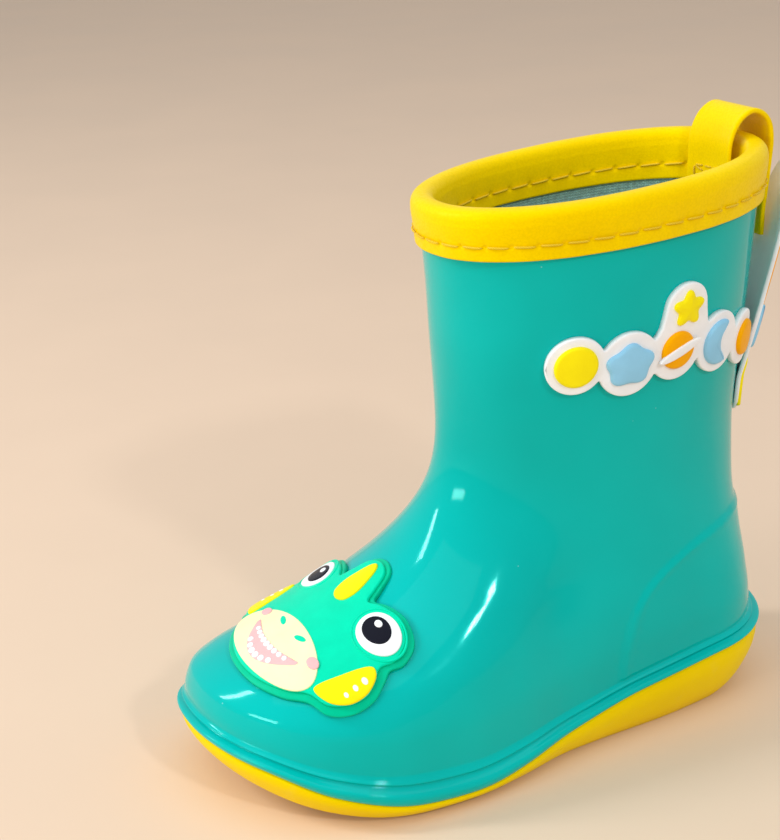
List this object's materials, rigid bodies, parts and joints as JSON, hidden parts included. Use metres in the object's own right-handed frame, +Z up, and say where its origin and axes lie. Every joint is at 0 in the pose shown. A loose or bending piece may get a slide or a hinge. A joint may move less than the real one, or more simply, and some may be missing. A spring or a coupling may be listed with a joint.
{
  "type": "rubber rain boot",
  "caption": "Child's mid-height rain boot: glossy teal upper with moulded welt, yellow sole and stitched collar, pull loop, animal-face badge on the vamp, space-shape patches on the shaft.",
  "frame": {"origin": "on the floor under the shaft, between heel and ball, on the flat tread", "axes": "+Z up, -Y towards the toe, +X towards the outer side of the left foot"},
  "size_m": [0.078, 0.1782, 0.1643],
  "materials": {
    "upper_teal": "glossy soft PVC",
    "sole_yellow": "matt moulded sole",
    "band_yellow": "soft coated binding with a fine grain",
    "thread_yellow": "sewing thread",
    "knit_lining": "fine knitted lining",
    "footbed_foam": "soft foam",
    "patch_dark_mint": "soft satin patch",
    "patch_mint": "soft satin patch",
    "patch_cream": "soft satin patch",
    "patch_pink": "soft satin patch",
    "patch_white": "soft satin patch",
    "patch_black": "soft satin patch",
    "patch_lemon": "soft satin patch",
    "patch_sky": "soft satin patch",
    "patch_orange": "soft satin patch"
  },
  "bodies": {
    "boot": {"badge_base": "patch_dark_mint", "badge_cheek_lateral": "patch_pink", "badge_cheek_medial": "patch_pink", "badge_dot_lateral_1": "patch_white", "badge_dot_lateral_2": "patch_white", "badge_dot_lateral_3": "patch_white", "badge_dot_medial_1": "patch_white", "badge_dot_medial_2": "patch_white", "badge_dot_medial_3": "patch_white", "badge_eye_lateral": "patch_white", "badge_eye_medial": "patch_white", "badge_face": "patch_mint", "badge_fin_lateral": "patch_lemon", "badge_fin_medial": "patch_lemon", "badge_glint_lateral": "patch_white", "badge_glint_medial": "patch_white", "badge_horn": "patch_lemon", "badge_mouth": "patch_pink", "badge_muzzle": "patch_cream", "badge_nostril_lateral": "patch_mint", "badge_nostril_medial": "patch_mint", "badge_pupil_lateral": "patch_black", "badge_pupil_medial": "patch_black", "badge_teeth": "patch_white", "collar_binding": "band_yellow", "collar_bobbin_thread": "thread_yellow", "collar_needle_thread": "thread_yellow", "insole_cover": "knit_lining", "insole_foam": "footbed_foam", "lining_sock": "knit_lining", "loop_inner_tack": "thread_yellow", "loop_inner_tail": "band_yellow", "loop_outer_tack": "thread_yellow", "loop_outer_tail": "band_yellow", "outsole": "sole_yellow", "plaque_ball": "patch_orange", "plaque_base": "patch_white", "plaque_cloud": "patch_sky", "plaque_crescent": "patch_sky", "plaque_moon": "patch_lemon", "plaque_planet": "patch_orange", "plaque_ring": "patch_white", "plaque_star": "patch_lemon", "rocket_band": "patch_sky", "rocket_base": "patch_white", "rocket_body": "patch_orange", "rocket_fin_lateral": "patch_sky", "rocket_fin_medial": "patch_sky", "rocket_flame": "patch_lemon", "rocket_nose": "patch_lemon", "rocket_window": "patch_white", "upper_shell": "upper_teal"},
    "pull_loop": {"loop_arch": "band_yellow"}
  },
  "joints": [
    {"name": "pull_loop_flex", "type": "hinge", "parent": "boot", "child": "pull_loop", "pos_m": [0, 0.0562, 0.151], "axis": [1, 0, 0], "range_deg": [-12, 8], "stiffness_Nm_per_rad": 0.02}
  ]
}
